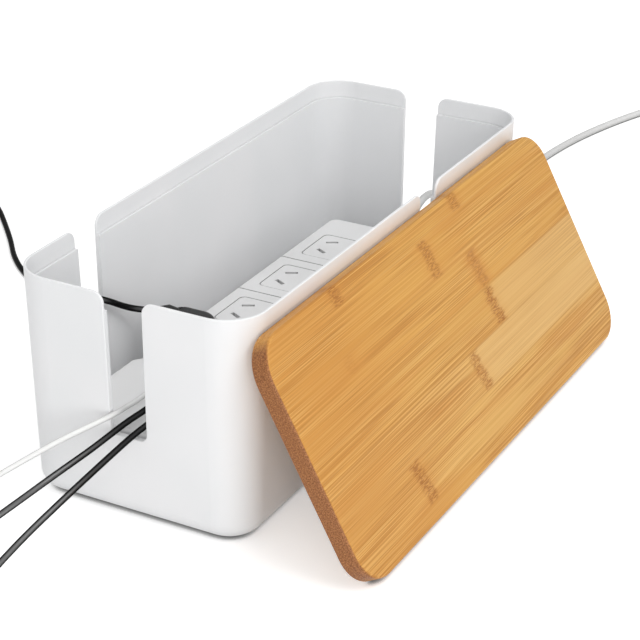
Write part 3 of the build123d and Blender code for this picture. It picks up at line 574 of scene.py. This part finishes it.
def coil_points(node, entry, diameter, turns, columns, way):
    """Points of a two-layer coil: inwards along the lower layer, then outwards along the upper."""
    low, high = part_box(node)
    middle = Vector(((low[0] + high[0]) / 2, (low[1] + high[1]) / 2, 0))
    outer = (high[0] - low[0]) / 2 - diameter / 2
    start = atan2(entry[1] - middle.y, entry[0] - middle.x)
    points = []
    for step in range(1, round(turns * COIL_STEPS) + 1):
        lap, part = divmod(step / COIL_STEPS, 1)
        shift = max(0.0, (part - 1 + COIL_JOG) / COIL_JOG)
        seat = lap + shift
        climb = min(max(seat - (columns - 1), 0.0), 1.0)
        column = min(seat, columns - 1) if seat <= columns else 2 * columns - 1 - seat
        radius = outer - column * diameter
        angle = start + way * 2 * pi * step / COIL_STEPS
        spot = middle + Vector((cos(angle), sin(angle), 0)) * radius
        points.append(spot + Vector((0, 0, (0.5 + climb) * diameter)))
    heading = Vector((-sin(angle), cos(angle), 0)) * way
    return points, heading, outer


def cord_line(name, points):
    """Curve with one open NURBS spline that has these control points."""
    curve = bpy.data.curves.new(name, "CURVE")
    curve.dimensions = "3D"
    curve.resolution_u = 6
    spline = curve.splines.new("NURBS")
    spline.points.add(len(points) - 1)
    for control, point in zip(spline.points, points):
        control.co = (*point, 1)
    spline.order_u = 3
    spline.use_endpoint_u = True
    return curve


def mesh_of(curve, name):
    """The curve as a mesh: its line, or its tube once it has a bevel."""
    holder = bpy.data.objects.new(name, curve)
    mesh = bpy.data.meshes.new_from_object(holder)
    bpy.data.objects.remove(holder)
    mesh.name = name
    return mesh


def make_cord(letter, route, diameter, length, slot, far_end, relief, turns, columns, way):
    """One cord from its exit, along its route, round its coil and into its end plug."""
    node = f"cord_{letter}"
    ends = END_PIECES[letter]
    points = [Vector(point) * MM for point in route]
    coil, heading, outer = coil_points(f"{node}_coil", points[-1], diameter, turns, columns, way)
    top = coil[-1]
    # The cord runs straight on until it is clear of the coil's outside, and sinks to its plug.
    side = diameter / 2 + COIL_GAP
    clear = sqrt((outer + side) ** 2 - (outer - side) ** 2)
    plug_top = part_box(ends[0])[1][2]
    drop = (plug_top / 2 - top.z) / (clear + relief)
    tail = [top + (heading + Vector((0, 0, drop))) * clear * share for share in TAIL_SHARES]
    curve = cord_line(f"{node}_line", points + coil + tail)
    line = mesh_of(curve, f"{node}_line")
    curve.bevel_depth = diameter / 2
    curve.bevel_resolution = 4
    tube = mesh_of(curve, f"{node}_tube")
    for face in tube.polygons:
        face.use_smooth = True
    tube.materials.clear()
    tube.materials.append(MATERIALS[slot])
    piece = bpy.data.objects.new(f"{node}_tube", tube)
    bpy.context.scene.collection.objects.link(piece)
    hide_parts(node, f"{node}_coil")
    return piece


def make_cords():
    """The five cords. Four run between their plug and the box and are left unattached; the strip's lead is
    attached to the box.
    """
    for letter, route, *rest in CORDS:
        piece = make_cord(letter, route, *rest)
        if letter in BENDS:
            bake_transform(piece)
        else:
            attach(piece, "box")


make_cords()

# ================================================================ floor, light and camera
FLOOR_HALF = 6.0
FLOOR_CLOUD_CELLS = 0.6
FLOOR_PALE = ((0.93, 0.93, 0.93, 1), (0.95, 0.95, 0.95, 1))
# The floor's tone for rays that don't show it to the camera, and its own glow for those that do.
FLOOR_BOUNCE = (0.72, 0.72, 0.72, 1)
FLOOR_GLOW = 0.4
FLOOR_ROUGHNESS = 0.9
# Painted contact shadow: the share of the floor's light that is left where a piece touches it,
# and how far off that starts.
FLOOR_CONTACT_SHADOW = 0.15
CONTACT_SHADOW_REACH = 4 * MM

WORLD_STRENGTH = 0.62
# Square area lights: name, place, target, size and watts.
LIGHTS = (
    ("key", (-0.1, -1.3, 1.7), (0, 0, 0.05), 1.2, 12.5),
    ("top", (0.2, 0.1, 2.5), (0, 0, 0), 2.0, 7),
    ("side", (-1.2, -0.68, 0.28), (-0.12, -0.04, 0.06), 0.8, 7.5),
)

CAMERA_PLACE = (-0.84898, -0.46904, 0.51205)
CAMERA_YAW = radians(-62.029)
CAMERA_PITCH = radians(64.095)
CAMERA_ROLL = radians(0.529)
CAMERA_LENS = 112.71
CAMERA_SENSOR = 36.0
CAMERA_RANGE = 20


def make_floor():
    """Pale plain floor, wide enough to fill the photograph's view."""
    mesh = bpy.data.meshes.new("floor")
    half = FLOOR_HALF
    corners = [(-half, -half, 0), (half, -half, 0), (half, half, 0), (-half, half, 0)]
    mesh.from_pydata(corners, [], [(0, 1, 2, 3)])
    floor = bpy.data.objects.new("floor", mesh)
    bpy.context.scene.collection.objects.link(floor)
    shader = Shader("floor")
    clouds = shader.noise(shader.place, FLOOR_CLOUD_CELLS, 1.0)
    seen = shader.seen()
    colour = shader.mix(seen, FLOOR_BOUNCE, shader.mix(shader.spread(clouds), *FLOOR_PALE))
    # Painted contact shadow: a thin dark line where a piece touches the floor, which also dims its glow.
    contact_shadow = shader.between(shader.shelter(CONTACT_SHADOW_REACH), 0.1, 0.6, FLOOR_CONTACT_SHADOW, 1.0)
    colour = shader.mix(contact_shadow, BLACK, colour)
    mesh.materials.append(
        shader.finish(
            Base_Color=colour,
            Roughness=FLOOR_ROUGHNESS,
            Specular_IOR_Level=0.0,
            Emission_Color=(1, 1, 1, 1),
            Emission_Strength=shader.times(shader.times(seen, FLOOR_GLOW), contact_shadow),
        )
    )


def make_world():
    """Even white surroundings."""
    world = bpy.data.worlds.new("surroundings")
    world.use_nodes = True
    background = world.node_tree.nodes["Background"]
    background.inputs["Color"].default_value = (1, 1, 1, 1)
    background.inputs["Strength"].default_value = WORLD_STRENGTH
    bpy.context.scene.world = world


def area_light(name, place, target, size, power):
    """Square soft light at a place, aimed at a target."""
    light = bpy.data.lights.new(name, "AREA")
    light.shape = "SQUARE"
    light.size = size
    light.energy = power
    lamp = bpy.data.objects.new(name, light)
    lamp.location = place
    lamp.rotation_euler = (Vector(target) - Vector(place)).to_track_quat("-Z", "Y").to_euler()
    bpy.context.scene.collection.objects.link(lamp)


def make_camera():
    """Camera at the place and angle the photograph was taken from."""
    camera = bpy.data.cameras.new("camera")
    camera.lens = CAMERA_LENS
    camera.sensor_width = CAMERA_SENSOR
    camera.clip_end = CAMERA_RANGE
    holder = bpy.data.objects.new("camera", camera)
    turn = Matrix.Rotation(CAMERA_YAW, 4, "Z") @ Matrix.Rotation(CAMERA_PITCH, 4, "X")
    holder.matrix_world = Matrix.Translation(CAMERA_PLACE) @ turn @ Matrix.Rotation(CAMERA_ROLL, 4, "Z")
    bpy.context.scene.collection.objects.link(holder)
    bpy.context.scene.camera = holder


make_floor()
make_world()
for name, place, target, size, power in LIGHTS:
    area_light(name, place, target, size, power)
make_camera()
bpy.context.scene.view_settings.view_transform = "Standard"
